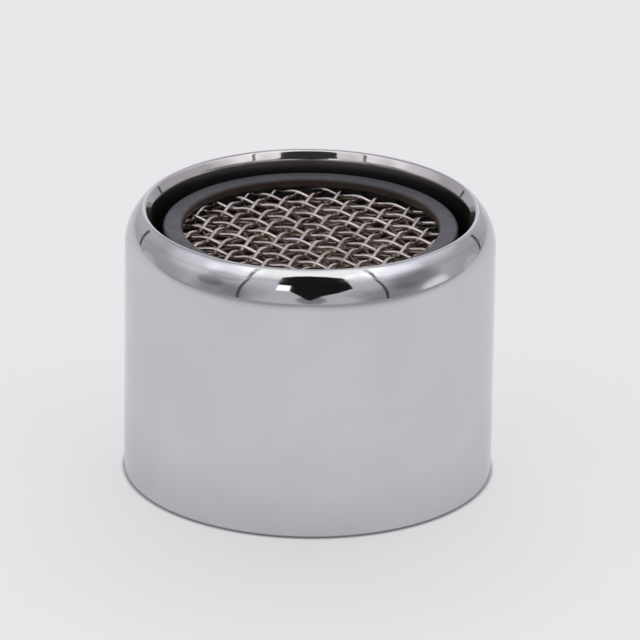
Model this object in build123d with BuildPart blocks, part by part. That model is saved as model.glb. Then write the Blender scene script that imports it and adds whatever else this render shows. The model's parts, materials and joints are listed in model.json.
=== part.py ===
from build123d import *

import os
from math import atan2, cos, degrees, hypot, radians, sin, sqrt

# Tap aerator for a spout with a male metric fine thread.
# It stands on its threaded inlet end with the outlet up. Origin: centre of the inlet end face.
# Millimetres. Water comes in at z = 0 and leaves at the crest of the outlet lip.

# Spout thread, left as a plain bore at its minor diameter
thread_diameter = 22.0
thread_pitch = 1.0
thread_length = 6.7
minor_drop = 1.0825  # major less minor diameter of an internal thread, in pitches

# Housing, turned from bar
thread_wall = 1.0
foot_chamfer = 0.15
entry_chamfer = 0.65
seat_undercut = 0.3
shelf_thickness = 1.3
outlet_depth = 6.5
outlet_wall = 1.72
edge_radius = 3.25
crest_land = 0.14
lead_in_width = 0.43
lead_in_height = 0.48

# Washer between the spout and the insert
washer_thickness = 2.0
washer_bore = 15.5

# Moulded sleeve that carries the insert
flange_thickness = 1.5
air_gap = 0.73
sleeve_wall = 0.65
pocket_step = 0.35
outlet_recess = 1.15
lip_thickness = 0.55
lip_reach = 0.6
ring_chamfer = 0.15
window_count = 8
window_width = 3.2
window_height = 1.4
window_step = 0.2

# Strainer and jet disc, stacked in the sleeve's pocket
strainer_rim = 0.5
strainer_wall = 0.5
hat_slot_width = 0.8
hat_slot_rows = ((2.4, 1.8), (5.0, 2.2))  # middle radius, length
hat_slot_counts = (8, 16)
disc_thickness = 0.9
disc_boss = 0.8
jet_width = 0.8
jet_rows = ((4.2, 1.2), (6.5, 1.4))  # middle radius, length
jet_counts = (10, 16)

# Woven wire screens, pressed against the sleeve's lip by a retainer
mesh_pitch = 1.4
wire_width = 0.24
crossing_bite = 0.03  # how far two wires are pressed into each other where they cross
crossing_flat = 0.2
screens = (
    ("outlet_screen", -28.4, True),
    ("middle_screen", 14.0, False),
    ("inner_screen", 52.0, False),
)  # name, weave angle, crimped
retainer_height = 1.2
retainer_width = 0.75

# Clearances
flange_clearance = 0.1
shelf_clearance = 0.2
washer_clearance = 0.15
hat_clearance = 0.3
hat_recess = 0.15
pocket_clearance = 0.05
bore_clearance = 0.1
retainer_clearance = 0.05

# Radii worked out from the thread outwards and from the outlet wall inwards
minor_radius = (thread_diameter - minor_drop * thread_pitch) / 2
outer_radius = thread_diameter / 2 + thread_wall
seat_radius = minor_radius + seat_undercut
outlet_radius = outer_radius - outlet_wall
sleeve_radius = outlet_radius - air_gap
shelf_radius = sleeve_radius + shelf_clearance
sleeve_bore = sleeve_radius - sleeve_wall
pocket_radius = sleeve_bore + pocket_step
lip_radius = sleeve_bore - lip_reach
flange_radius = minor_radius - flange_clearance
washer_bore_radius = washer_bore / 2
washer_radius = seat_radius - washer_clearance
hat_radius = washer_bore_radius - hat_clearance
insert_radius = pocket_radius - pocket_clearance
boss_radius = sleeve_bore - bore_clearance
screen_radius = sleeve_bore - bore_clearance
retainer_radius = sleeve_bore - retainer_clearance

# Heights, stacked from the inlet face to the crest
washer_z = thread_length
flange_z = washer_z + washer_thickness
shelf_z = flange_z + flange_thickness
chamber_z = shelf_z + shelf_thickness
height = chamber_z + outlet_depth
hat_z = washer_z + hat_recess
disc_z = flange_z + strainer_rim
ledge_z = disc_z + disc_thickness
window_z = chamber_z + window_step
ring_z = height - outlet_recess
lip_z = ring_z - lip_thickness
screen_thickness = 2 * wire_width - crossing_bite
retainer_z = lip_z - len(screens) * screen_thickness - retainer_height

# The outer edge arc leaves the side wall without a corner and ends at the crest
edge_run = outlet_wall - lead_in_width - crest_land
edge_rise = sqrt(edge_run * (2 * edge_radius - edge_run))
edge_turn = degrees(atan2(edge_rise, edge_radius - edge_run))
edge_z = height - edge_rise

os.makedirs("parts", exist_ok=True)

# Housing: one turned profile with the thread bore, washer seat, shelf and outlet
with BuildPart() as housing:
    with BuildSketch(Plane.XZ):
        with BuildLine():
            side = Line((outer_radius, 0), (outer_radius, edge_z))
            edge = JernArc(side @ 1, (0, 1), edge_radius, edge_turn)
            Polyline(
                edge @ 1,
                (outlet_radius + lead_in_width, height),
                (outlet_radius, height - lead_in_height),
                (outlet_radius, chamber_z),
                (shelf_radius, chamber_z),
                (shelf_radius, shelf_z),
                (seat_radius, shelf_z),
                (seat_radius, washer_z),
                (minor_radius, washer_z),
                (minor_radius, 0),
                side @ 0,
            )
        make_face()
    revolve(axis=Axis.Z)
    foot_edges = housing.edges().group_by(Axis.Z)[0].sort_by(SortBy.LENGTH)
    chamfer(foot_edges[0], entry_chamfer)
    foot_edges = housing.edges().group_by(Axis.Z)[0].sort_by(SortBy.LENGTH)
    chamfer(foot_edges[-1], foot_chamfer)
housing.part.label = "housing"
export_step(housing.part, "parts/housing.step")

# Sealing washer: flat rubber ring on the sleeve's flange
with BuildPart() as sealing_washer:
    with BuildSketch(Plane.XY.offset(washer_z)):
        Circle(washer_radius)
        Circle(washer_bore_radius, mode=Mode.SUBTRACT)
    extrude(amount=washer_thickness)
sealing_washer.part.label = "sealing_washer"
export_step(sealing_washer.part, "parts/sealing_washer.step")

# Mixing sleeve: flange on the shelf, tube with air windows, and the outlet ring that shows
with BuildPart() as mixing_sleeve:
    with BuildSketch(Plane.XZ):
        with BuildLine():
            Polyline(
                (pocket_radius, flange_z),
                (flange_radius, flange_z),
                (flange_radius, shelf_z),
                (sleeve_radius, shelf_z),
                (sleeve_radius, ring_z),
                (lip_radius, ring_z),
                (lip_radius, lip_z),
                (sleeve_bore, lip_z),
                (sleeve_bore, ledge_z),
                (pocket_radius, ledge_z),
                close=True,
            )
        make_face()
    revolve(axis=Axis.Z)
    chamfer(mixing_sleeve.edges().group_by(Axis.Z)[-1], ring_chamfer)
    with Locations((0, 0, window_z + window_height / 2)):
        with PolarLocations(sleeve_radius, window_count):
            Box(2 * (sleeve_wall + air_gap), window_width, window_height, mode=Mode.SUBTRACT)
mixing_sleeve.part.label = "mixing_sleeve"
export_step(mixing_sleeve.part, "parts/mixing_sleeve.step")

# Inlet strainer: slotted hat that stands in the washer's bore
with BuildPart() as inlet_strainer:
    with BuildSketch(Plane.XZ):
        with BuildLine():
            Polyline(
                (0, hat_z),
                (hat_radius, hat_z),
                (hat_radius, flange_z),
                (insert_radius, flange_z),
                (insert_radius, disc_z),
                (hat_radius - strainer_wall, disc_z),
                (hat_radius - strainer_wall, hat_z + strainer_wall),
                (0, hat_z + strainer_wall),
                close=True,
            )
        make_face()
    revolve(axis=Axis.Z)
    with BuildSketch(Plane.XY.offset(hat_z)):
        for (slot_radius, slot_length), slot_count in zip(hat_slot_rows, hat_slot_counts):
            with PolarLocations(slot_radius, slot_count):
                Rectangle(slot_length, hat_slot_width)
    extrude(amount=strainer_wall, mode=Mode.SUBTRACT)
inlet_strainer.part.label = "inlet_strainer"
export_step(inlet_strainer.part, "parts/inlet_strainer.step")

# Jet disc: stepped plate on the sleeve's ledge, with two rings of small jets
with BuildPart() as jet_disc:
    with BuildSketch(Plane.XY.offset(disc_z)):
        Circle(insert_radius)
    extrude(amount=disc_thickness)
    with BuildSketch(Plane.XY.offset(ledge_z)):
        Circle(boss_radius)
    extrude(amount=disc_boss)
    with BuildSketch(Plane.XY.offset(disc_z)):
        for (jet_radius, jet_length), jet_count in zip(jet_rows, jet_counts):
            with PolarLocations(jet_radius, jet_count):
                Rectangle(jet_length, jet_width)
    extrude(amount=disc_thickness + disc_boss, mode=Mode.SUBTRACT)
jet_disc.part.label = "jet_disc"
export_step(jet_disc.part, "parts/jet_disc.step")

# Screen retainer: ring pushed into the sleeve behind the screens
with BuildPart() as screen_retainer:
    with BuildSketch(Plane.XY.offset(retainer_z)):
        Circle(retainer_radius)
        Circle(retainer_radius - retainer_width, mode=Mode.SUBTRACT)
    extrude(amount=retainer_height)
screen_retainer.part.label = "screen_retainer"
export_step(screen_retainer.part, "parts/screen_retainer.step")


def wire_rows():
    """Numbers and places of one family's wires, half a pitch to each side of the middle and so on.

    A wire too near the edge to cross at least two others is left out.
    """
    numbers = range(-int(screen_radius / mesh_pitch) - 1, int(screen_radius / mesh_pitch) + 1)
    rows = [(number, (number + 0.5) * mesh_pitch) for number in numbers]
    return [row for row in rows if hypot(row[1], mesh_pitch) < screen_radius - wire_width]


def wire_outline(number, place, first_over, crimped):
    """Side view of one wire: flat where it crosses another, sloped between, cut at the disc's edge."""
    lift = (wire_width - crossing_bite) / 2
    half_chord = sqrt(screen_radius**2 - (abs(place) + wire_width / 2) ** 2)
    line = [(-half_chord, lift if first_over else -lift), (half_chord, lift if first_over else -lift)]
    if crimped:
        middle = []
        for other, crossing in wire_rows():
            if hypot(crossing, place) > screen_radius - wire_width:
                continue
            over = ((number + other) % 2 == 0) == first_over
            level = lift if over else -lift
            middle += [(crossing - crossing_flat / 2, level), (crossing + crossing_flat / 2, level)]
        line = [(-half_chord, middle[0][1])] + middle + [(half_chord, middle[-1][1])]
    upper = [(x, z + wire_width / 2) for x, z in line]
    lower = [(x, z - wire_width / 2) for x, z in reversed(line)]
    return upper + lower


def make_screen(label, top_z, weave_angle, crimped):
    """A disc punched from plain woven wire cloth, its wires joined where they cross."""
    turn = radians(weave_angle)
    along = Vector(cos(turn), sin(turn), 0)
    across = Vector(-sin(turn), cos(turn), 0)
    middle = Vector(0, 0, top_z - screen_thickness / 2)
    families = ((along, across, -across, True), (across, along, along, False))
    with BuildPart() as screen:
        for direction, spacing, facing, first_over in families:
            for number, place in wire_rows():
                wire_plane = Plane(middle + spacing * place, x_dir=direction, z_dir=facing)
                with BuildSketch(wire_plane.offset(-wire_width / 2)):
                    with BuildLine():
                        Polyline(*wire_outline(number, place, first_over, crimped), close=True)
                    make_face()
        extrude(amount=wire_width)
    screen.part.label = label
    export_step(screen.part, f"parts/{label}.step")


# The outlet screen shows its crimped weave, the ones below it are laid wires
for layer, (screen_name, weave_angle, crimped) in enumerate(screens):
    make_screen(screen_name, lip_z - layer * screen_thickness, weave_angle, crimped)
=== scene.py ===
import json
import random
from contextlib import contextmanager
from math import atan2, ceil, cos, pi, radians, sin, sqrt, tan

import bpy
from bpy.props import FloatProperty, FloatVectorProperty, IntProperty, PointerProperty
from mathutils import Matrix, Vector


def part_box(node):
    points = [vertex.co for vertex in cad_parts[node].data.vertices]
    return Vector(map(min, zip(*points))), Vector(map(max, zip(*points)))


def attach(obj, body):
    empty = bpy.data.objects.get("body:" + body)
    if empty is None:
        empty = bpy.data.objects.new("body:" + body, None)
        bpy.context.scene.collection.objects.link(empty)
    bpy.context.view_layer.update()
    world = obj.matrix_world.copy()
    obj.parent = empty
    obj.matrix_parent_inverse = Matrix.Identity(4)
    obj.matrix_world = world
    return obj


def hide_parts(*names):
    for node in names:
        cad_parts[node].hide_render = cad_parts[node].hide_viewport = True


bl_info = {
    "name": "Tap aerator",
    "version": (1, 0, 0),
    "blender": (4, 5, 0),
    "location": "3D View > Sidebar > Aerator",
    "description": "Dresses the CAD frame of a chromed tap aerator",
    "category": "Object",
}

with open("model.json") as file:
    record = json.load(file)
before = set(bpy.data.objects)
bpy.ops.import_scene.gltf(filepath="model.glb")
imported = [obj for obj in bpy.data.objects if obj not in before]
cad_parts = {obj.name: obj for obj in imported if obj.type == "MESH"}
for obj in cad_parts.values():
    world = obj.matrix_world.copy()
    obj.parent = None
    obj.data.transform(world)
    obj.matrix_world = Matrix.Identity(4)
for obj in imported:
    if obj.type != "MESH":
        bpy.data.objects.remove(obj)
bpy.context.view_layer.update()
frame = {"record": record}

# Sizes that the CAD frame already fixes
_, housing_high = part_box("housing")
washer_low, washer_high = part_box("sealing_washer")
sleeve_low, sleeve_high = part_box("mixing_sleeve")
strainer_low, strainer_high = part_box("inlet_strainer")
disc_low, disc_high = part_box("jet_disc")
retainer_low, retainer_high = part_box("screen_retainer")
_, outlet_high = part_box("outlet_screen")
thread_minor_radius = frame["record"]["mounts"][0]["dims"]["r_mm"] / 1000

# Small corners of turned and moulded pieces, and how far a cutter reaches past what it cuts
broken_edge = 0.0001
thread_overshoot = 0.0001
slot_overshoot = 0.001


def length(name, description, default):
    """A size in metres for a property group."""
    return FloatProperty(
        name=name, description=description, default=default, min=0.0, unit="LENGTH", precision=5
    )


def pair(name, description, first, second):
    """Two places in metres for a property group."""
    return FloatVectorProperty(
        name=name, description=description, default=(first, second), size=2, unit="LENGTH", precision=6
    )


def turn(name, description, degrees):
    """An angle for a property group, given in degrees."""
    return FloatProperty(
        name=name, description=description, default=radians(degrees), subtype="ANGLE", unit="ROTATION"
    )


def colour(name, description, red, green, blue):
    """A linear colour for a property group."""
    return FloatVectorProperty(
        name=name,
        description=description,
        default=(red, green, blue, 1.0),
        size=4,
        min=0.0,
        max=1.0,
        subtype="COLOR",
    )


def factor(name, description, default):
    """A plain number from 0 upwards for a property group."""
    return FloatProperty(name=name, description=description, default=default, min=0.0, precision=3)


def whole(name, description, default, least=3):
    """A whole number for a property group."""
    return IntProperty(name=name, description=description, default=default, min=least)


class AeratorHousingSettings(bpy.types.PropertyGroup):
    """Sizes of the turned housing"""

    outer_radius: length("Outer radius", "Radius of the side wall", housing_high.x)
    height: length("Height", "From the inlet face to the crest of the outlet lip", housing_high.z)
    edge_radius: length("Edge radius", "Large arc from the side wall to the lip", 0.00324)
    crest_radius: length("Crest radius", "Small arc over the lip", 0.00024)
    crest_middle: length("Crest middle", "Radius of the lip's highest line", 0.0108)
    lip_slope: turn("Lip slope", "How far the lip's inner face leans from upright", 36.7)
    lip_roll: length("Lip roll", "Soft edge between the lip's inner face and the bore", 0.00035)
    outlet_radius: length("Outlet radius", "Bore round the sleeve", 0.01029)
    shelf_radius: length("Shelf radius", "Bore through the shelf", 0.00975)
    shelf_low: length("Shelf underside", "Height where the sleeve's flange stops", 0.0102)
    shelf_high: length("Shelf top", "Height of the shelf's upper face", 0.0115)
    seat_radius: length("Seat radius", "Bore round washer and flange", 0.010759)
    thread_radius: length("Thread minor radius", "Inner radius of the thread", thread_minor_radius)
    thread_depth: length("Thread depth", "From minor to major radius", 0.000541)
    thread_pitch: length("Thread pitch", "Rise of one turn", 0.001)
    thread_steps: whole("Thread steps", "Sides of one turn of the thread", 96, 32)
    mouth_chamfer: length("Mouth chamfer", "Lead-in of the thread", 0.00065)
    foot_chamfer: length("Foot chamfer", "Broken outer edge that the part stands on", 0.0002)
    steps: whole("Steps", "Sides of a full turn", 256, 32)


class AeratorSleeveSettings(bpy.types.PropertyGroup):
    """Sizes of the mixing sleeve and the screen retainer"""

    outer_radius: length("Outer radius", "Tube and outlet ring", 0.00955)
    bore_radius: length("Bore radius", "Inside of the tube", 0.0089)
    pocket_radius: length("Pocket radius", "Pocket for strainer and jet disc", 0.00925)
    pocket_top: length("Pocket top", "Height of the ledge over the jet disc", 0.0101)
    flange_top: length("Flange top", "Height of the flange's upper face", 0.0102)
    lip_radius: length("Lip radius", "Opening of the outlet ring", 0.0083)
    lip_thickness: length("Lip thickness", "Ring over the screens", 0.00055)
    edge_radius: length("Edge radius", "Rounded edges of the outlet ring", 0.0002)
    stain_width: length("Stain width", "Water stain on the ring's inner edge", 0.0001)
    window_count: whole("Windows", "Air windows in the tube", 8)
    window_width: length("Window width", "Across the tube", 0.0032)
    window_low: length("Window sill", "Height of the lower edge", 0.0117)
    window_high: length("Window head", "Height of the upper edge", 0.0131)
    window_rounding: length("Window rounding", "Corners of the air windows", 0.0002)
    steps: whole("Steps", "Sides of a full turn", 192, 32)
    retainer_width: length("Retainer width", "Ring behind the screens", 0.00075)
    retainer_rounding: length("Retainer rounding", "Edges of that ring", 0.00015)
    retainer_steps: whole("Retainer steps", "Sides of a full turn of that ring", 128, 32)


class AeratorInletSettings(bpy.types.PropertyGroup):
    """Sizes of the sealing washer, the inlet strainer and the jet disc"""

    washer_bore: length("Washer bore", "Radius of the washer's opening", 0.00775)
    washer_rounding: length("Washer rounding", "Soft edges of the washer", 0.00025)
    hat_radius: length("Hat radius", "Strainer hat in the washer's bore", 0.00745)
    hat_wall: length("Hat wall", "Thickness of the moulded hat", 0.0005)
    hat_rounding: length("Hat rounding", "Outer edge of the hat", 0.0004)
    hub_radius: length("Hub radius", "Plain middle of the strainer and the jet disc", 0.001)
    slot_rounding: factor("Slot rounding", "Corner radius of a slot as a share of its width", 0.42)
    slot_width: length("Slot width", "Slots of the strainer", 0.0008)
    inner_slots: whole("Inner slots", "Slots round the middle", 8)
    inner_slot: pair("Inner slot", "Radii where an inner slot starts and ends", 0.0015, 0.0033)
    outer_slots: whole("Outer slots", "Slots near the edge", 16)
    outer_slot: pair("Outer slot", "Radii where an outer slot starts and ends", 0.0039, 0.0061)
    disc_step: length("Disc step", "Height of the jet disc's shoulder", 0.0101)
    boss_radius: length("Boss radius", "Upper step of the jet disc", 0.0088)
    jet_width: length("Jet width", "Openings of the jet disc", 0.0008)
    inner_jets: whole("Inner jets", "Openings round the middle", 10)
    inner_jet: pair("Inner jet", "Radii where an inner opening starts and ends", 0.0036, 0.0048)
    outer_jets: whole("Outer jets", "Openings near the edge", 16)
    outer_jet: pair("Outer jet", "Radii where an outer opening starts and ends", 0.0058, 0.0072)
    steps: whole("Steps", "Sides of a full turn", 160, 32)


class AeratorScreenSettings(bpy.types.PropertyGroup):
    """Sizes of the woven screens"""

    screen_radius: length("Screen radius", "Edge of the punched disc", 0.0088)
    wire_radius: length("Wire radius", "Half the wire's thickness", 0.00012)
    first_crimp: length("First crimp", "Height of the first family's wave", 0.000105)
    second_crimp: length("Second crimp", "Height of the second family's wave", 0.00015)
    lower_radius: length("Lower wire radius", "Half the wire's thickness in the screens below", 0.00011)
    lower_crimp: length("Lower crimp", "Height of the waves in the screens below", 0.000095)
    first_pitch: length("First pitch", "Between crossings on the first family", 0.0013355)
    second_pitch: length("Second pitch", "Between crossings on the second family", 0.0014705)
    first_angle: turn("First angle", "Direction of the first family", -30.83)
    second_angle: turn("Second angle", "Direction of the second family", 64.12)
    crossing: pair("Crossing", "A crossing where the first family lies on top", -0.0013, 0.00108)
    unevenness: length("Unevenness", "How far a wire wanders from its row", 0.00002)
    lift_spread: factor("Lift spread", "Unevenness of the waves' height, as a share", 0.05)
    points: whole("Points", "Points of a wire between two crossings", 10)


class AeratorFinishSettings(bpy.types.PropertyGroup):
    """Colours of the finishes"""

    chrome: colour("Chrome", "Polished plating", 0.632, 0.638, 0.656)
    edge_tint: colour("Edge tint", "Tint of the plating at flat angles", 0.91, 0.91, 0.92)
    # Bores: dull thin plating, made darker still as painted shade of the recess
    dull_plate_and_shade: colour("Inner plating", "Thin dull plating in the bores", 0.338, 0.312, 0.285)
    inner_roughness: factor("Inner roughness", "Dullness of the plating in the bores", 0.27)
    haze: colour("Haze", "Faint water stain on the lip's inner face", 0.615, 0.595, 0.58)
    steel: colour("Steel", "Bright top of the wires", 0.80, 0.735, 0.715)
    tarnish: colour("Tarnish", "Duller patches on the wires", 0.43, 0.36, 0.33)
    # Screens underneath: the wire steel and its patches made darker and browner as painted shade; the
    # patches still vary at random
    shaded_steel: colour("Shaded steel", "Wires of the screens underneath", 0.41, 0.305, 0.25)
    shaded_deposit: colour("Deposit", "Darker stains on the screens underneath", 0.19, 0.175, 0.13)
    grey: colour("Grey plastic", "Mixing sleeve and retainer", 0.055, 0.055, 0.068)
    stain: colour("Stain", "Water stain on the inner edge of the outlet ring", 0.042, 0.024, 0.016)
    pale: colour("Pale plastic", "Strainer and jet disc", 0.70, 0.69, 0.65)
    rubber: colour("Rubber", "Sealing washer", 0.022, 0.022, 0.023)


class AeratorStageSettings(bpy.types.PropertyGroup):
    """Camera and light"""

    camera_distance: length("Camera distance", "From the camera to the middle of the part", 0.46897)
    camera_elevation: turn("Camera elevation", "Height of the camera above the horizon", 22.207)
    camera_roll: turn("Camera roll", "Tilt of the picture", 0.803)
    target_height: length("Target height", "Height of the camera's target above the floor", 0.0085)
    aim_right: length("Aim right", "Shift of the aim to the right of the target", 0.000694)
    aim_up: length("Aim up", "Shift of the aim above the target", 0.001594)
    focal_length: FloatProperty(
        name="Focal length", description="Lens in millimetres", default=405.94, min=1.0, unit="CAMERA"
    )
    backdrop: colour("Backdrop", "Pale background", 0.799, 0.78, 0.807)
    floor: colour("Floor", "Pale cloth under the part", 0.92, 0.908, 0.9)
    ceiling: factor("Ceiling", "Brightness of the tent's lit top", 1.2)
    wall: factor("Wall", "Brightness of the tent's walls near the floor", 0.585)
    ceiling_tint: colour("Ceiling tint", "Tint of the tent's lit top", 1.0, 0.99, 0.985)
    wall_tint: colour("Wall tint", "Tint of the tent's walls", 0.955, 0.935, 1.0)
    lean: turn("Lean", "How far the lit top leans to the front", 12.0)


def deselect_all():
    """Clears the selection, so that an operator acts only on what comes next."""
    bpy.ops.object.select_all(action="DESELECT")


def select_only(piece):
    """Makes one piece the selected and active one."""
    deselect_all()
    piece.select_set(True)
    bpy.context.view_layer.objects.active = piece


@contextmanager
def editing():
    """Edit mode on the active piece with everything selected, then back to object mode."""
    bpy.ops.object.mode_set(mode="EDIT")
    bpy.ops.mesh.select_all(action="SELECT")
    yield
    bpy.ops.object.mode_set(mode="OBJECT")


def arc(centre, radius, start, end, count):
    """Points of an arc in the profile plane, both ends included, angles in radians."""
    points = []
    for number in range(count + 1):
        angle = start + (end - start) * number / count
        points.append((centre[0] + radius * cos(angle), centre[1] + radius * sin(angle)))
    return points


def draw_line(name, points):
    """Draws a line of edges through the points, from one vertex extruded again and again."""
    places = [Vector(point) for point in points]
    deselect_all()
    bpy.ops.mesh.primitive_plane_add(size=0.001, location=places[0])
    piece = bpy.context.object
    piece.name = name
    piece.data.name = name
    bpy.ops.object.transform_apply(location=True, rotation=True, scale=True)
    with editing():
        bpy.ops.mesh.merge(type="CENTER")
        for place, following in zip(places, places[1:]):
            bpy.ops.mesh.extrude_region_move(TRANSFORM_OT_translate={"value": following - place})
    return piece


def close_mesh(piece):
    """Merges what spin or screw left double and turns all faces outwards."""
    select_only(piece)
    with editing():
        bpy.ops.mesh.remove_doubles(threshold=1e-7)
        bpy.ops.mesh.normals_make_consistent(inside=False)


def turn_profile(name, profile, steps):
    """Turns a profile of radius and height round the Z axis, closed unless it starts on the axis."""
    ring = [(radius, 0.0, height) for radius, height in profile]
    if profile[0][0] > 0.0:
        ring += ring[:1]
    piece = draw_line(name, ring)
    with editing():
        bpy.ops.mesh.spin(steps=steps, angle=2 * pi, center=(0, 0, 0), axis=(0, 0, 1))
    close_mesh(piece)
    return piece


def apply_modifier(piece, kind, **settings):
    """Adds a modifier, sets it and applies it."""
    select_only(piece)
    bpy.ops.object.modifier_add(type=kind)
    modifier = piece.modifiers[-1]
    for key, value in settings.items():
        setattr(modifier, key, value)
    bpy.ops.object.modifier_apply(modifier=modifier.name)


def ring_section(inner, outer, low, high, rounding):
    """Section of a flat ring with rounded edges."""
    near, far = inner + rounding, outer - rounding
    bottom, top = low + rounding, high - rounding
    section = []
    for number, corner in enumerate(((far, bottom), (far, top), (near, top), (near, bottom))):
        start = (number - 1) * pi / 2
        section += arc(corner, rounding, start, start + pi / 2, 5)
    return section


def cut_away(piece, cutter):
    """Takes the cutter's shape out of the piece and removes the cutter."""
    apply_modifier(piece, "BOOLEAN", operation="DIFFERENCE", solver="EXACT", object=cutter)
    bpy.data.objects.remove(cutter)


def ring_of_copies(piece, count):
    """Copies a piece round the Z axis and joins the copies with it."""
    copies = [piece]
    for number in range(1, count):
        select_only(piece)
        bpy.ops.object.duplicate()
        copy = bpy.context.object
        copy.data.transform(Matrix.Rotation(2 * pi * number / count, 4, "Z"))
        copies.append(copy)
    deselect_all()
    for copy in copies:
        copy.select_set(True)
    bpy.context.view_layer.objects.active = piece
    bpy.ops.object.join()
    return piece


def rounded_block(name, low, high, rounding):
    """A box between two corners with rounded edges."""
    deselect_all()
    bpy.ops.mesh.primitive_cube_add(size=1.0, location=(low + high) / 2)
    piece = bpy.context.object
    piece.name = name
    piece.scale = high - low
    bpy.ops.object.transform_apply(location=True, rotation=True, scale=True)
    apply_modifier(piece, "BEVEL", width=rounding, segments=3, limit_method="ANGLE")
    return piece


def finish_piece(piece, material, slot, *nodes, smooth=32.0):
    """Gives a new piece its finish, smooths edges below an angle, and replaces its CAD nodes."""
    select_only(piece)
    bpy.ops.object.shade_smooth_by_angle(angle=radians(smooth))
    piece.data.materials.clear()
    piece.data.materials.append(material)
    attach(piece, "root")
    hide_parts(*nodes)
    return piece


def add_node(tree, kind, inputs=None, **settings):
    """Adds a shader node, sets it, and fills or links its inputs by name or number."""
    node = tree.nodes.new(kind)
    for key, value in settings.items():
        setattr(node, key, value)
    for socket, value in (inputs or {}).items():
        if isinstance(value, bpy.types.NodeSocket):
            tree.links.new(value, node.inputs[socket])
        else:
            node.inputs[socket].default_value = value
    return node


def calculate(tree, operation, *values):
    """Output of a maths node."""
    node = add_node(tree, "ShaderNodeMath", dict(enumerate(values)), operation=operation)
    return node.outputs["Value"]


def product(tree, *values):
    """Output that multiplies all the values."""
    result = values[0]
    for value in values[1:]:
        result = calculate(tree, "MULTIPLY", result, value)
    return result


def measure(tree, operation, *vectors):
    """Output of a vector maths node that gives a number."""
    node = add_node(tree, "ShaderNodeVectorMath", dict(enumerate(vectors)), operation=operation)
    return node.outputs["Value"]


def scaled(tree, vector, amount):
    """Output with a vector or colour multiplied by a value."""
    node = add_node(tree, "ShaderNodeVectorMath", {0: vector, "Scale": amount}, operation="SCALE")
    return node.outputs["Vector"]


def map_range(tree, value, low, high, to_low=0.0, to_high=1.0, kind="LINEAR"):
    """Output that carries a value from one range to another and stops at both ends."""
    inputs = {"Value": value, "From Min": low, "From Max": high, "To Min": to_low, "To Max": to_high}
    return add_node(tree, "ShaderNodeMapRange", inputs, interpolation_type=kind).outputs["Result"]


def mix_values(tree, mask, first, second):
    """Value that changes from one to another by a mask."""
    return add_node(tree, "ShaderNodeMix", {"Factor": mask, "A": first, "B": second}).outputs["Result"]


def mix_colours(tree, mask, first, second):
    """Colour that changes from one to another by a mask."""
    return add_node(tree, "ShaderNodeMix", {0: mask, 6: first, 7: second}, data_type="RGBA").outputs[2]


def shade(base, amount):
    """A colour made lighter or darker by a plain amount."""
    return (base[0] * amount, base[1] * amount, base[2] * amount, 1.0)


def from_axis(tree):
    """Outputs with a point's place across the Z axis, its distance from that axis, and its height."""
    place = add_node(tree, "ShaderNodeTexCoord").outputs["Object"]
    parts = add_node(tree, "ShaderNodeSeparateXYZ", {"Vector": place}).outputs
    flat = add_node(tree, "ShaderNodeCombineXYZ", {"X": parts["X"], "Y": parts["Y"]}).outputs["Vector"]
    return flat, measure(tree, "LENGTH", flat), parts["Z"]


def mottling(group, inputs):
    """Soft cloudy variation between two values, for colour masks and roughness."""
    place = add_node(group, "ShaderNodeTexCoord").outputs["Object"]
    settings = {"Vector": place, "Scale": inputs["Scale"], "Detail": inputs["Detail"]}
    noise = add_node(group, "ShaderNodeTexNoise", settings)
    return map_range(group, noise.outputs["Fac"], 0.3, 0.7, inputs["Low"], inputs["High"])


def turned_lines(group, inputs):
    """Fine rings that turning and polishing leave round the Z axis."""
    flat, radius, height = from_axis(group)
    ring = product(group, calculate(group, "ADD", radius, height), inputs["Rings"])
    around = scaled(group, flat, inputs["Wander"])
    parts = add_node(group, "ShaderNodeSeparateXYZ", {"Vector": around}).outputs
    point = add_node(group, "ShaderNodeCombineXYZ", {"X": parts["X"], "Y": parts["Y"], "Z": ring})
    settings = {"Vector": point.outputs["Vector"], "Scale": 1.0, "Detail": 2.0}
    return add_node(group, "ShaderNodeTexNoise", settings).outputs["Fac"]


def moulded_grain(group, inputs):
    """Fine leathery grain that a mould or a drawing die leaves."""
    place = add_node(group, "ShaderNodeTexCoord").outputs["Object"]
    settings = {"Vector": place, "Scale": inputs["Scale"], "Detail": 3.0}
    fine = add_node(group, "ShaderNodeTexNoise", settings).outputs["Fac"]
    wider = product(group, inputs["Scale"], 0.22)
    cells = add_node(group, "ShaderNodeTexVoronoi", {"Vector": place, "Scale": wider})
    coarse = product(group, cells.outputs["Distance"], inputs["Coarse"])
    return calculate(group, "ADD", fine, coarse)


# Effects that the finishes share: what builds them, their output and their inputs
effects = {
    "Mottling": (mottling, "Value", {"Scale": 200.0, "Detail": 4.0, "Low": 0.0, "High": 1.0}),
    "Turned lines": (turned_lines, "Height", {"Rings": 9000.0, "Wander": 60.0}),
    "Moulded grain": (moulded_grain, "Height", {"Scale": 4000.0, "Coarse": 0.5}),
}


def new_group(name):
    """Shader node group of one shared effect, with a float socket for each input and the output."""
    build, output, inputs = effects[name]
    group = bpy.data.node_groups.new(name, "ShaderNodeTree")
    for label, default in inputs.items():
        socket = group.interface.new_socket(name=label, in_out="INPUT", socket_type="NodeSocketFloat")
        socket.default_value = default
    group.interface.new_socket(name=output, in_out="OUTPUT", socket_type="NodeSocketFloat")
    start = group.nodes.new("NodeGroupInput")
    end = group.nodes.new("NodeGroupOutput")
    group.links.new(build(group, start.outputs), end.inputs[output])
    return group


def effect(tree, name, **values):
    """Puts a shared effect into a material with its own values, and gives its output."""
    group = bpy.data.node_groups.get(name) or new_group(name)
    return add_node(tree, "ShaderNodeGroup", values, node_tree=group).outputs[0]


def new_material(name):
    """An empty node material with its Principled shader."""
    material = bpy.data.materials.new(name)
    material.use_nodes = True
    return material, material.node_tree, material.node_tree.nodes["Principled BSDF"]


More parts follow.
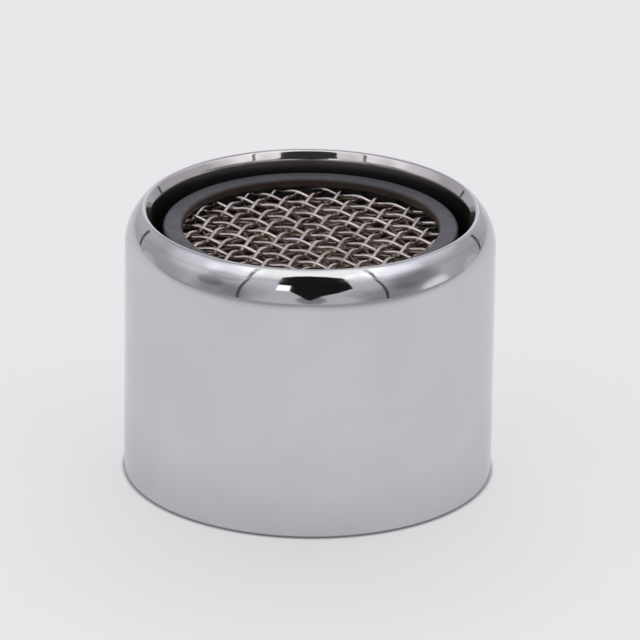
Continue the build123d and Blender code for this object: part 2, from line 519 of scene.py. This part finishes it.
def link_finish(tree, shader, tone, roughness, relief, strength, depth):
    """Links a finish's colour, roughness and fine relief to its shader."""
    bump = add_node(tree, "ShaderNodeBump", {"Height": relief, "Strength": strength, "Distance": depth})
    tree.links.new(tone, shader.inputs["Base Color"])
    tree.links.new(roughness, shader.inputs["Roughness"])
    tree.links.new(bump.outputs["Normal"], shader.inputs["Normal"])


def bore_mask(tree, sizes):
    """Mask that is 1 on the faces of the bores and 0 on the polished outside, lip and foot."""
    _, radius, height = from_axis(tree)
    wall, top = sizes.outer_radius, sizes.height
    bright, dull = 0.0005, 0.0007
    fades = (
        (radius, wall - bright, wall - dull),
        (height, top - bright, top - dull),
        (height, 0.0001, 0.0009),
    )
    return product(tree, *[map_range(tree, *fade) for fade in fades])


def inward_mask(tree, limit):
    """Mask that is 0 outside a radius and 1 a tenth of a millimetre further in."""
    _, radius, _ = from_axis(tree)
    return map_range(tree, radius, limit, limit - 0.0001)


def chrome_finish(finish, sizes):
    """Polished chrome with faint rings and uneven gloss, hazy inside the lip, and in the bores dull
    plating darkened with painted shade.
    """
    material, tree, shader = new_material("chrome_plate")
    cloud = effect(tree, "Mottling", Scale=260.0, Detail=5.0, Low=0.0, High=1.0)
    gloss = effect(tree, "Mottling", Scale=900.0, Detail=4.0, Low=0.035, High=0.075)
    rings = effect(tree, "Turned lines", Rings=14000.0, Wander=40.0)
    bores = bore_mask(tree, sizes)
    within = inward_mask(tree, sizes.crest_middle - 0.0001)
    lip_face = calculate(tree, "SUBTRACT", within, bores)
    tone = mix_colours(tree, cloud, shade(finish.chrome, 0.965), shade(finish.chrome, 1.02))
    tone = mix_colours(tree, lip_face, tone, tuple(finish.haze))
    # The bores take a darker colour: partly dull plating, partly painted shade
    tone = mix_colours(tree, bores, tone, tuple(finish.dull_plate_and_shade))
    roughness = mix_values(tree, bores, gloss, finish.inner_roughness)
    link_finish(tree, shader, tone, roughness, rings, 0.02, 0.00001)
    tree.links.new(map_range(tree, lip_face, 0.0, 1.0, 1.0, 0.93), shader.inputs["Metallic"])
    shader.inputs["Specular Tint"].default_value = tuple(finish.edge_tint)
    return material


def plastic_finish(name, base, smooth, rough, grain_depth, stain=None, stain_radius=0.0):
    """Moulded material with fine grain, cloudy tone and uneven gloss, and a stain inside a radius."""
    material, tree, shader = new_material(name)
    cloud = effect(tree, "Mottling", Scale=420.0, Detail=6.0, Low=0.0, High=1.0)
    gloss = effect(tree, "Mottling", Scale=1500.0, Detail=3.0, Low=smooth, High=rough)
    grain = effect(tree, "Moulded grain", Scale=9000.0, Coarse=0.6)
    tone = mix_colours(tree, cloud, shade(base, 0.86), shade(base, 1.14))
    if stain is not None:
        tone = mix_colours(tree, inward_mask(tree, stain_radius), tone, tuple(stain))
    link_finish(tree, shader, tone, gloss, grain, 0.25, grain_depth)
    return material


def wire_finish(name, bright, dull, smooth, rough):
    """Drawn steel wire, bright on top with duller stained patches."""
    material, tree, shader = new_material(name)
    stain = effect(tree, "Mottling", Scale=700.0, Detail=5.0, Low=-0.25, High=1.0)
    gloss = effect(tree, "Mottling", Scale=2500.0, Detail=3.0, Low=smooth, High=rough)
    grain = effect(tree, "Moulded grain", Scale=16000.0, Coarse=0.2)
    tone = mix_colours(tree, stain, tuple(bright), tuple(dull))
    link_finish(tree, shader, tone, gloss, grain, 0.2, 0.00001)
    shader.inputs["Metallic"].default_value = 1.0
    return material


class AERATOR_OT_housing(bpy.types.Operator):
    """Turned housing with its rounded outlet edge and the spout thread"""

    bl_idname = "aerator.housing"
    bl_label = "Make housing"

    def execute(self, context):
        sizes = context.scene.aerator_housing
        piece = turn_profile("housing_shell", self.profile(sizes), sizes.steps)
        cut_away(piece, self.thread_cutter(sizes))
        close_mesh(piece)
        material = chrome_finish(context.scene.aerator_finish, sizes)
        finish_piece(piece, material, "chrome_plate", "housing")
        return {"FINISHED"}

    def profile(self, sizes):
        """Closed half section: up the side, over the lip and down through the bores."""
        outer, foot, mouth = sizes.outer_radius, sizes.foot_chamfer, sizes.mouth_chamfer
        section = [(outer - foot, 0.0)]
        section += arc((outer - foot, foot), foot, -pi / 2, 0.0, 5)[1:]
        section += self.lip(sizes)
        bore, shelf = sizes.outlet_radius, sizes.shelf_high
        section += arc((bore - broken_edge, shelf + broken_edge), broken_edge, 0.0, -pi / 2, 3)
        section += [(sizes.shelf_radius, shelf), (sizes.shelf_radius, sizes.shelf_low)]
        thread_end = washer_low.z
        section += [(sizes.seat_radius, sizes.shelf_low), (sizes.seat_radius, thread_end)]
        groove = sizes.thread_radius + sizes.thread_depth
        groove_end = thread_end - 0.75 * sizes.thread_pitch
        section += [(groove, thread_end - broken_edge), (groove, groove_end)]
        section += [(sizes.thread_radius, thread_end - sizes.thread_pitch)]
        section += [(sizes.thread_radius, mouth), (sizes.thread_radius + mouth, 0.0)]
        return section

    def lip(self, sizes):
        """Side wall, large edge arc, crest and sloped inner face, with a soft edge into the bore."""
        slope, roll, bore = sizes.lip_slope, sizes.lip_roll, sizes.outlet_radius
        edge_centre = sizes.outer_radius - sizes.edge_radius
        crest_height = sizes.height - sizes.crest_radius
        across = sizes.crest_middle - edge_centre
        rise = sqrt((sizes.edge_radius - sizes.crest_radius) ** 2 - across**2)
        meeting = atan2(rise, across)
        edge_start = crest_height - rise
        section = [(sizes.outer_radius, edge_start * share) for share in (0.2, 0.4, 0.6, 0.8, 0.95)]
        section += arc((edge_centre, edge_start), sizes.edge_radius, 0.0, meeting, 28)
        crest = (sizes.crest_middle, crest_height)
        section += arc(crest, sizes.crest_radius, meeting, pi - slope, 12)[1:]
        lip_radius, lip_height = section[-1]
        run = lip_radius - bore
        drop = run / tan(slope)
        section += [(lip_radius - 0.1 * run, lip_height - 0.1 * drop)]
        roll_height = lip_height - drop - roll * tan(slope / 2)
        section += arc((bore + roll, roll_height), roll, pi - slope, pi, 10)
        return section

    def thread_cutter(self, sizes):
        """Coil with 60 degree flanks that starts under the inlet face and ends in the relief groove."""
        pitch = sizes.thread_pitch
        tip = sizes.thread_radius + sizes.thread_depth
        back = sizes.thread_radius - thread_overshoot
        land = pitch / 16
        foot = land + (tip - back) * tan(radians(30))
        start = -0.43 * pitch
        tooth = [(back, start - foot), (tip, start - land), (tip, start + land), (back, start + foot)]
        ring = [(radius, 0.0, height) for radius, height in tooth]
        cutter = draw_line("thread_cutter", ring + ring[:1])
        close_mesh(cutter)
        end = washer_low.z - 0.45 * pitch
        apply_modifier(
            cutter,
            "SCREW",
            axis="Z",
            angle=2 * pi,
            screw_offset=pitch,
            iterations=int((end - start) / pitch),
            steps=sizes.thread_steps,
            render_steps=sizes.thread_steps,
        )
        close_mesh(cutter)
        with editing():
            bpy.ops.mesh.fill_holes(sides=4)
            bpy.ops.mesh.normals_make_consistent(inside=False)
        return cutter


class AERATOR_OT_sleeve(bpy.types.Operator):
    """Mixing sleeve with its flange, air windows and outlet ring, and the screen retainer in it"""

    bl_idname = "aerator.sleeve"
    bl_label = "Make mixing sleeve"

    def execute(self, context):
        sizes = context.scene.aerator_sleeve
        finish = context.scene.aerator_finish
        piece = turn_profile("sleeve_body", self.profile(sizes), sizes.steps)
        reach = sizes.outer_radius - sizes.bore_radius
        low = Vector((sizes.bore_radius - reach, -sizes.window_width / 2, sizes.window_low))
        high = Vector((sizes.outer_radius + reach, sizes.window_width / 2, sizes.window_high))
        window = rounded_block("window_cutter", low, high, sizes.window_rounding)
        cut_away(piece, ring_of_copies(window, sizes.window_count))
        close_mesh(piece)
        stain = (finish.stain, sizes.lip_radius + sizes.stain_width)
        material = plastic_finish("grey_plastic", finish.grey, 0.34, 0.46, 0.00001, *stain)
        finish_piece(piece, material, "grey_plastic", "mixing_sleeve")
        outer = retainer_high.x
        inner = outer - sizes.retainer_width
        low, high = retainer_low.z, retainer_high.z
        section = ring_section(inner, outer, low, high, sizes.retainer_rounding)
        retainer = turn_profile("retainer_ring", section, sizes.retainer_steps)
        finish_piece(retainer, material, "grey_plastic", "screen_retainer")
        return {"FINISHED"}

    def profile(self, sizes):
        """Closed half section: under the flange, up the tube, over the ring and down the bore."""
        flange, low, top = sleeve_high.x, sleeve_low.z, sleeve_high.z
        outer, lip, rounding = sizes.outer_radius, sizes.lip_radius, sizes.edge_radius
        lip_low = top - sizes.lip_thickness
        section = [(sizes.pocket_radius, low), (flange, low), (flange, sizes.flange_top)]
        section += [(outer, sizes.flange_top), (outer, (sizes.flange_top + top) / 2)]
        section += arc((outer - rounding, top - rounding), rounding, 0.0, pi / 2, 8)
        section += arc((lip + rounding, top - rounding), rounding, pi / 2, pi, 8)
        section += [(lip, lip_low), (sizes.bore_radius, lip_low)]
        section += [(sizes.bore_radius, sizes.pocket_top), (sizes.pocket_radius, sizes.pocket_top)]
        return section


class AERATOR_OT_washer(bpy.types.Operator):
    """Rubber sealing washer with softly rounded edges"""

    bl_idname = "aerator.washer"
    bl_label = "Make sealing washer"

    def execute(self, context):
        sizes = context.scene.aerator_inlet
        finish = context.scene.aerator_finish
        low, high = washer_low.z, washer_high.z
        section = ring_section(sizes.washer_bore, washer_high.x, low, high, sizes.washer_rounding)
        piece = turn_profile("washer_ring", section, sizes.steps)
        material = plastic_finish("black_rubber", finish.rubber, 0.55, 0.72, 0.00003)
        finish_piece(piece, material, "black_rubber", "sealing_washer")
        return {"FINISHED"}


class AERATOR_OT_inlet(bpy.types.Operator):
    """Slotted inlet strainer and the jet disc behind it"""

    bl_idname = "aerator.inlet"
    bl_label = "Make strainer and jet disc"

    def execute(self, context):
        sizes = context.scene.aerator_inlet
        finish = context.scene.aerator_finish
        material = plastic_finish("pale_plastic", finish.pale, 0.36, 0.5, 0.00001)
        strainer = turn_profile("strainer_hat", self.hat_section(sizes), sizes.steps)
        low, high = strainer_low.z - sizes.hat_wall, strainer_low.z + 2 * sizes.hat_wall
        rows = ((sizes.inner_slot, sizes.inner_slots), (sizes.outer_slot, sizes.outer_slots))
        self.cut_slots(strainer, sizes, rows, sizes.slot_width, low, high)
        finish_piece(strainer, material, "pale_plastic", "inlet_strainer")
        disc = turn_profile("jet_plate", self.disc_section(sizes), sizes.steps)
        low, high = disc_low.z - slot_overshoot, disc_high.z + slot_overshoot
        rows = ((sizes.inner_jet, sizes.inner_jets), (sizes.outer_jet, sizes.outer_jets))
        self.cut_slots(disc, sizes, rows, sizes.jet_width, low, high)
        finish_piece(disc, material, "pale_plastic", "jet_disc")
        return {"FINISHED"}

    def flat_face(self, hub, inner, outer, height):
        """Points of a flat face from its middle to the land between its inner and outer slots."""
        land = (inner[1] + outer[0]) / 2
        return [(0.0, height), (hub, height), (land, height)]

    def hat_section(self, sizes):
        """Half section from the hat's outer middle over its edge and rim to its inner middle."""
        low, high = strainer_low.z, strainer_high.z
        rim, rim_low = strainer_high.x, washer_high.z
        outer, rounding = sizes.hat_radius, sizes.hat_rounding
        inner, hollow = outer - sizes.hat_wall, low + sizes.hat_wall
        rows = (sizes.hub_radius, sizes.inner_slot, sizes.outer_slot)
        section = self.flat_face(*rows, low)
        section += arc((outer - rounding, low + rounding), rounding, -pi / 2, 0.0, 6)
        section += [(outer, rim_low), (rim - broken_edge, rim_low), (rim, rim_low + broken_edge)]
        section += [(rim, high), (inner, high)]
        section += [(inner, hollow + broken_edge), (inner - broken_edge, hollow)]
        section += reversed(self.flat_face(*rows, hollow))
        return section

    def disc_section(self, sizes):
        """Half section of the stepped disc from the middle of one face to the middle of the other."""
        low, high = disc_low.z, disc_high.z
        rim, step, boss = disc_high.x, sizes.disc_step, sizes.boss_radius
        rows = (sizes.hub_radius, sizes.inner_jet, sizes.outer_jet)
        section = self.flat_face(*rows, low)
        section += [(rim - broken_edge, low), (rim, low + broken_edge), (rim, step), (boss, step)]
        section += [(boss, high - broken_edge), (boss - broken_edge, high)]
        section += reversed(self.flat_face(*rows, high))
        return section

    def cut_slots(self, piece, sizes, rows, width, low, high):
        """Cuts rings of slots with rounded ends, each row given by its two radii and its count."""
        for (near, far), count in rows:
            first = Vector((near, -width / 2, low))
            last = Vector((far, width / 2, high))
            slot = rounded_block("slot_cutter", first, last, sizes.slot_rounding * width)
            cut_away(piece, ring_of_copies(slot, count))
            close_mesh(piece)


class AERATOR_OT_screens(bpy.types.Operator):
    """Three woven wire screens under the outlet ring"""

    bl_idname = "aerator.screens"
    bl_label = "Make woven screens"

    def execute(self, context):
        sizes = context.scene.aerator_screens
        finish = context.scene.aerator_finish
        bright = wire_finish("steel_wire", finish.steel, finish.tarnish, 0.12, 0.22)
        # Screens underneath get a darker copy of the steel as painted shade, and a rougher gloss
        dull = wire_finish("steel_wire_shaded", finish.shaded_steel, finish.shaded_deposit, 0.3, 0.45)
        shown = (sizes.wire_radius, sizes.first_crimp, sizes.second_crimp)
        lower = (sizes.lower_radius, sizes.lower_crimp, sizes.lower_crimp)
        layers = (
            ("outlet_weave", "outlet_screen", 0.0, shown, bright, 11),
            ("middle_weave", "middle_screen", 43.5, lower, dull, 12),
            ("inner_weave", "inner_screen", 81.5, lower, dull, 13),
        )
        top = outlet_high.z
        for name, node, degrees, wire, material, seed in layers:
            reach = wire[0] + max(wire[1:])
            piece = self.weave(name, sizes, wire, top - reach, radians(degrees), seed)
            finish_piece(piece, material, "steel_wire", node, smooth=60.0)
            top -= 2 * reach
        return {"FINISHED"}

    def weave(self, name, sizes, wire, height, angle, seed):
        """A disc of plain weave: two families of waved wires, each over one and under the next."""
        wire_radius, first_crimp, second_crimp = wire
        chance = random.Random(seed)
        swing = Matrix.Rotation(angle, 2)
        first = swing @ Vector((cos(sizes.first_angle), sin(sizes.first_angle))) * sizes.first_pitch
        second = swing @ Vector((cos(sizes.second_angle), sin(sizes.second_angle))) * sizes.second_pitch
        origin = Vector(sizes.crossing)
        line = bpy.data.curves.new(name, "CURVE")
        line.dimensions = "3D"
        line.bevel_depth = wire_radius
        line.bevel_resolution = 3
        line.use_fill_caps = True
        for step, across, crimp in ((first, second, first_crimp), (second, first, -second_crimp)):
            rows = ceil(2 * sizes.screen_radius / across.length)
            for row in range(-rows, rows + 1):
                start = origin + across * row
                self.add_wire(line, sizes, start, step, row, crimp, height, chance)
        piece = bpy.data.objects.new(name, line)
        bpy.context.scene.collection.objects.link(piece)
        select_only(piece)
        bpy.ops.object.convert(target="MESH")
        return bpy.context.object

    def add_wire(self, line, sizes, start, step, row, crimp, height, chance):
        """One waved wire, cut where it leaves the disc, or none where it would be too short."""
        along = step.normalized()
        side = Vector((-along.y, along.x))
        shift = chance.gauss(0.0, sizes.unevenness)
        bow = chance.gauss(0.0, sizes.unevenness)
        lift = crimp * (1.0 + chance.gauss(0.0, sizes.lift_spread))
        middle = -start.dot(along)
        off = start.dot(side)
        half = sizes.screen_radius**2 - off**2
        if half < (2 * step.length) ** 2:
            return
        half = sqrt(half)
        count = ceil(2 * half / step.length * sizes.points)
        wire = line.splines.new("POLY")
        wire.points.add(count)
        for number in range(count + 1):
            share = 2 * number / count - 1
            distance = middle + half * share
            sway = shift + bow * (1 - share * share)
            place = start + along * distance + side * sway
            wave = lift * cos(pi * (distance / step.length + row))
            wire.points[number].co = (place.x, place.y, height + wave, 1.0)


# Soft patches on the tent's walls: azimuth, elevation and reach in degrees, brightness in the core
tent_patches = (
    (-56, 5, 25, 0.56),
    (-65, 18, 11, 0.63),
    (51, 2, 27, 0.52),
    (71, 23, 23, 0.44),
    (82, 2, 13, 1.62),
    (1, 6, 11, 0.45),
    (30, 15, 10, 0.84),
    (-41, 13, 20, 0.8),
    (-64, 49, 19, 1.56),
    (71, 48, 20, 1.78),
    (-61, 35, 12, 0.77),
    (41, 50, 11, 1.33),
    (-92, 35, 22, 1.46),
    (116, 45, 20, 1.45),
    (-106, 9, 32, 0.79),
    (116, 15, 34, 0.84),
    (-116, -2, 9, 1.3),
    (116, -1, 11, 1.27),
    (-113, 69, 24, 0.64),
    (101, 62, 17, 0.78),
    (-162, 49, 32, 0.66),
    (157, 59, 26, 0.66),
    (180, 0, 45, 1.15),
    (180, 14, 20, 1.4),
    (180, 48, 20, 1.75),
)
patch_core = 6

# Brightness of the tent by elevation in degrees, as a share of the wall's and the ceiling's level
wall_levels = ((-15, 0.89), (14, 1.1), (25, 1.08), (35, 1.07), (44, 1.18))
ceiling_levels = ((57, 0.71), (62, 0.88), (67, 1.07), (73, 1.09), (78, 1.1), (83, 0.98), (90, 0.81))
ramp_low, ramp_high = wall_levels[0][0], ceiling_levels[-1][0]
tint_change = 60

# Outlines in the tent, as azimuth and elevation in degrees
front_opening = ((-23, 54), (-13, 59), (0, 60.7), (14, 58.7), (27.5, 52.5), (28, 28), (18, 21))
front_opening += ((8, 15.5), (2.5, 8), (0, 5), (-2.5, 8), (-6, 15))
front_opening += ((-12.5, 24.5), (-12.5, 37), (-22, 37.5))
light_card = ((-21.5, 37), (-13, 36.5), (-13, 25), (-21.5, 24.5))
rear_seam = ((128, 1), (134, 19), (136.5, 18.5), (130.5, 1))

# Front corner seam from the floor up: azimuth, elevation and width in degrees
corner_seam = ((45, -5, 2.0), (45, 38, 2.2), (51, 56, 4.0), (56, 65, 7.0))


class AERATOR_OT_stage(bpy.types.Operator):
    """Pale floor, light tent and camera"""

    bl_idname = "aerator.stage"
    bl_label = "Make stage"

    def execute(self, context):
        stage = context.scene.aerator_stage
        self.floor(stage)
        self.tent(context.scene, stage)
        self.cards()
        self.camera(context.scene, stage)
        context.scene.view_settings.view_transform = "Standard"
        return {"FINISHED"}

    def floor(self, stage):
        """Round cloth under and behind the part."""
        deselect_all()
        middle = (0.0, 0.45, -0.00001)
        bpy.ops.mesh.primitive_circle_add(vertices=96, radius=0.72, fill_type="NGON", location=middle)
        bpy.ops.object.transform_apply(location=True, rotation=True, scale=True)
        floor = bpy.context.object
        floor.name = "floor"
        floor.data.materials.append(self.cloth(stage))

    def cloth(self, stage):
        """Pale cloth: even where it is seen, shaded at the foot, and darker far off in reflections."""
        material, tree, shader = new_material("floor_cloth")
        place = add_node(tree, "ShaderNodeTexCoord").outputs["Object"]
        parts = add_node(tree, "ShaderNodeSeparateXYZ", {"Vector": place}).outputs
        aside = calculate(tree, "ABSOLUTE", parts["X"])
        forward = calculate(tree, "SUBTRACT", product(tree, aside, 0.5), parts["Y"])
        radius = measure(tree, "LENGTH", place)
        ahead = measure(tree, "DISTANCE", place, Vector((0.0, -housing_high.x, 0.0)))
        reflected = (
            (forward, 0.05, 0.135, 1.02, 0.58),
            (radius, 0.06, 0.25, 1.0, 0.86),
            (aside, 0.008, 0.03, 1.0, 0.97),
            (radius, 0.012, 0.02, 0.91, 1.0),
        )
        dimmed = product(tree, *[map_range(tree, *fade) for fade in reflected])
        contact = map_range(tree, radius, 0.0119, 0.01226, 0.2, 1.0, "SMOOTHSTEP")
        shadow = product(tree, contact, map_range(tree, ahead, 0.0, 0.02, 0.83, 1.0))
        path = add_node(tree, "ShaderNodeLightPath").outputs
        seen = calculate(tree, "MAXIMUM", path["Is Camera Ray"], path["Is Glossy Ray"])
        level = mix_values(tree, path["Is Glossy Ray"], 1.0, dimmed)
        diffuse = map_range(tree, seen, 0.0, 1.0, 1.0, 0.38)
        tone = scaled(tree, stage.floor[:3], product(tree, diffuse, level))
        glow = scaled(tree, shade(stage.backdrop, 0.71)[:3], product(tree, seen, level, shadow))
        tree.links.new(tone, shader.inputs["Base Color"])
        tree.links.new(glow, shader.inputs["Emission Color"])
        shader.inputs["Emission Strength"].default_value = 1.0
        shader.inputs["Roughness"].default_value = 0.95
        shader.inputs["Specular IOR Level"].default_value = 0.0
        return material

    def tent(self, scene, stage):
        """World as a white light tent: bright ceiling, greyer walls, pale backdrop for the camera."""
        world = bpy.data.worlds.new("light_tent")
        scene.world = world
        world.use_nodes = True
        tree = world.node_tree
        place = add_node(tree, "ShaderNodeTexCoord").outputs["Generated"]
        top = Vector((0.0, -sin(stage.lean), cos(stage.lean)))
        rise = calculate(tree, "ARCSINE", measure(tree, "DOT_PRODUCT", place, top))
        share = map_range(tree, rise, radians(ramp_low), radians(ramp_high))
        ramp = add_node(tree, "ShaderNodeValToRGB", {"Fac": share})
        self.fill_ramp(ramp.color_ramp, stage)
        level = ramp.outputs["Color"]
        core = cos(radians(patch_core))
        for azimuth, elevation, reach, amount in tent_patches:
            near = measure(tree, "DOT_PRODUCT", place, self.direction(azimuth, elevation))
            keep = map_range(tree, near, cos(radians(reach)), core, 1.0, amount, "SMOOTHSTEP")
            level = scaled(tree, level, keep)
        path = add_node(tree, "ShaderNodeLightPath").outputs
        shown = mix_colours(tree, path["Is Camera Ray"], level, tuple(stage.backdrop))
        tree.links.new(shown, tree.nodes["Background"].inputs["Color"])

    def fill_ramp(self, ramp, stage):
        """Brightness and tint of the tent from the floor up to the ceiling."""
        stops = [(elevation, share * stage.wall) for elevation, share in wall_levels]
        stops += [(elevation, share * stage.ceiling) for elevation, share in ceiling_levels]
        while len(ramp.elements) < len(stops):
            ramp.elements.new(0.5)
        for element, (elevation, level) in zip(ramp.elements, stops):
            tint = stage.wall_tint if elevation < tint_change else stage.ceiling_tint
            element.position = (elevation - ramp_low) / (ramp_high - ramp_low)
            element.color = shade(tint, level)

    def direction(self, azimuth, elevation):
        """Unit vector to a place in the tent, azimuth 0 at the front and growing to the right."""
        side, up = radians(azimuth), radians(elevation)
        return Vector((sin(side) * cos(up), -cos(side) * cos(up), sin(up)))

    def cards(self):
        """Front opening, light card and corner seams of the tent, seen only in reflections."""
        self.card("front_opening", front_opening, 1.0, self.card_finish("tent_opening", 0.012))
        self.card("light_card", light_card, 0.98, self.card_finish("tent_card", 1.65))
        dark = self.card_finish("tent_seam", 0.07)
        soft = self.card_finish("tent_seam_soft", 0.22)
        faint = self.card_finish("tent_seam_faint", 0.66)
        for side, name, turned in ((-1, "left", -2.3), (1, "right", 1.6)):
            for number, finish in enumerate((dark, soft, faint)):
                (first, low, low_width), (second, high, high_width) = corner_seam[number : number + 2]
                first, second = first + turned, second + turned
                places = ((first, low), (second, high))
                places += ((second + high_width, high), (first + low_width, low))
                self.seam(f"{name}_seam_{number + 1}", side, places, finish)
            self.seam(f"{name}_rear_seam", side, rear_seam, dark)

    def seam(self, name, side, places, material):
        """One stretch of a corner seam, on the left or the right."""
        self.card(name, [(side * azimuth, elevation) for azimuth, elevation in places], 1.05, material)

    def card_finish(self, name, level):
        """Plain glow of one level."""
        material, tree, shader = new_material(name)
        tree.nodes.remove(shader)
        tone = (level, level, level, 1.0)
        glow = add_node(tree, "ShaderNodeEmission", {"Color": tone, "Strength": 1.0})
        tree.links.new(glow.outputs["Emission"], tree.nodes["Material Output"].inputs["Surface"])
        return material

    def card(self, name, corners, distance, material):
        """A flat card through the given places in the tent."""
        middle = Vector((0.0, 0.0, housing_high.z))
        card = draw_line(name, [middle + self.direction(*corner) * distance for corner in corners])
        with editing():
            bpy.ops.mesh.edge_face_add()
        card.data.materials.append(material)
        card.visible_camera = False

    def camera(self, scene, stage):
        """Long lens in front of the part, a little above it."""
        up_angle = stage.camera_elevation
        back = Vector((0.0, -cos(up_angle), sin(up_angle)))
        right = Vector((1.0, 0.0, 0.0))
        up = Vector((0.0, sin(up_angle), cos(up_angle)))
        target = Vector((0.0, 0.0, stage.target_height))
        place = target + back * stage.camera_distance
        aim = target + right * stage.aim_right + up * stage.aim_up
        deselect_all()
        bpy.ops.object.camera_add(location=place)
        camera = bpy.context.object
        look = (aim - place).to_track_quat("-Z", "Y").to_matrix()
        camera.rotation_euler = (look @ Matrix.Rotation(stage.camera_roll, 3, "Z")).to_euler()
        camera.data.lens = stage.focal_length
        camera.data.sensor_width = 36.0
        camera.data.clip_start = 0.01
        camera.data.clip_end = 20.0
        scene.camera = camera


class AERATOR_PT_pieces(bpy.types.Panel):
    """Buttons that build the aerator piece by piece"""

    bl_idname = "AERATOR_PT_pieces"
    bl_label = "Tap aerator"
    bl_space_type = "VIEW_3D"
    bl_region_type = "UI"
    bl_category = "Aerator"

    def draw(self, context):
        for operator in operators:
            self.layout.operator(operator.bl_idname)
        for name in settings:
            group = getattr(context.scene, name)
            box = self.layout.box()
            for key in group.bl_rna.properties.keys():
                if key not in {"rna_type", "name"}:
                    box.prop(group, key)


settings = {
    "aerator_housing": AeratorHousingSettings,
    "aerator_sleeve": AeratorSleeveSettings,
    "aerator_inlet": AeratorInletSettings,
    "aerator_screens": AeratorScreenSettings,
    "aerator_finish": AeratorFinishSettings,
    "aerator_stage": AeratorStageSettings,
}
operators = (
    AERATOR_OT_housing,
    AERATOR_OT_sleeve,
    AERATOR_OT_washer,
    AERATOR_OT_inlet,
    AERATOR_OT_screens,
    AERATOR_OT_stage,
)


def register():
    """Registers the settings, operators and panel."""
    for name, group in settings.items():
        bpy.utils.register_class(group)
        setattr(bpy.types.Scene, name, PointerProperty(type=group))
    for operator in operators:
        bpy.utils.register_class(operator)
    bpy.utils.register_class(AERATOR_PT_pieces)


def unregister():
    """Takes back what register added."""
    bpy.utils.unregister_class(AERATOR_PT_pieces)
    for operator in reversed(operators):
        bpy.utils.unregister_class(operator)
    for name, group in settings.items():
        delattr(bpy.types.Scene, name)
        bpy.utils.unregister_class(group)


def main():
    """Builds every piece and the stage."""
    register()
    bpy.ops.aerator.housing()
    bpy.ops.aerator.sleeve()
    bpy.ops.aerator.washer()
    bpy.ops.aerator.inlet()
    bpy.ops.aerator.screens()
    bpy.ops.aerator.stage()


if __name__ == "__main__":
    main()
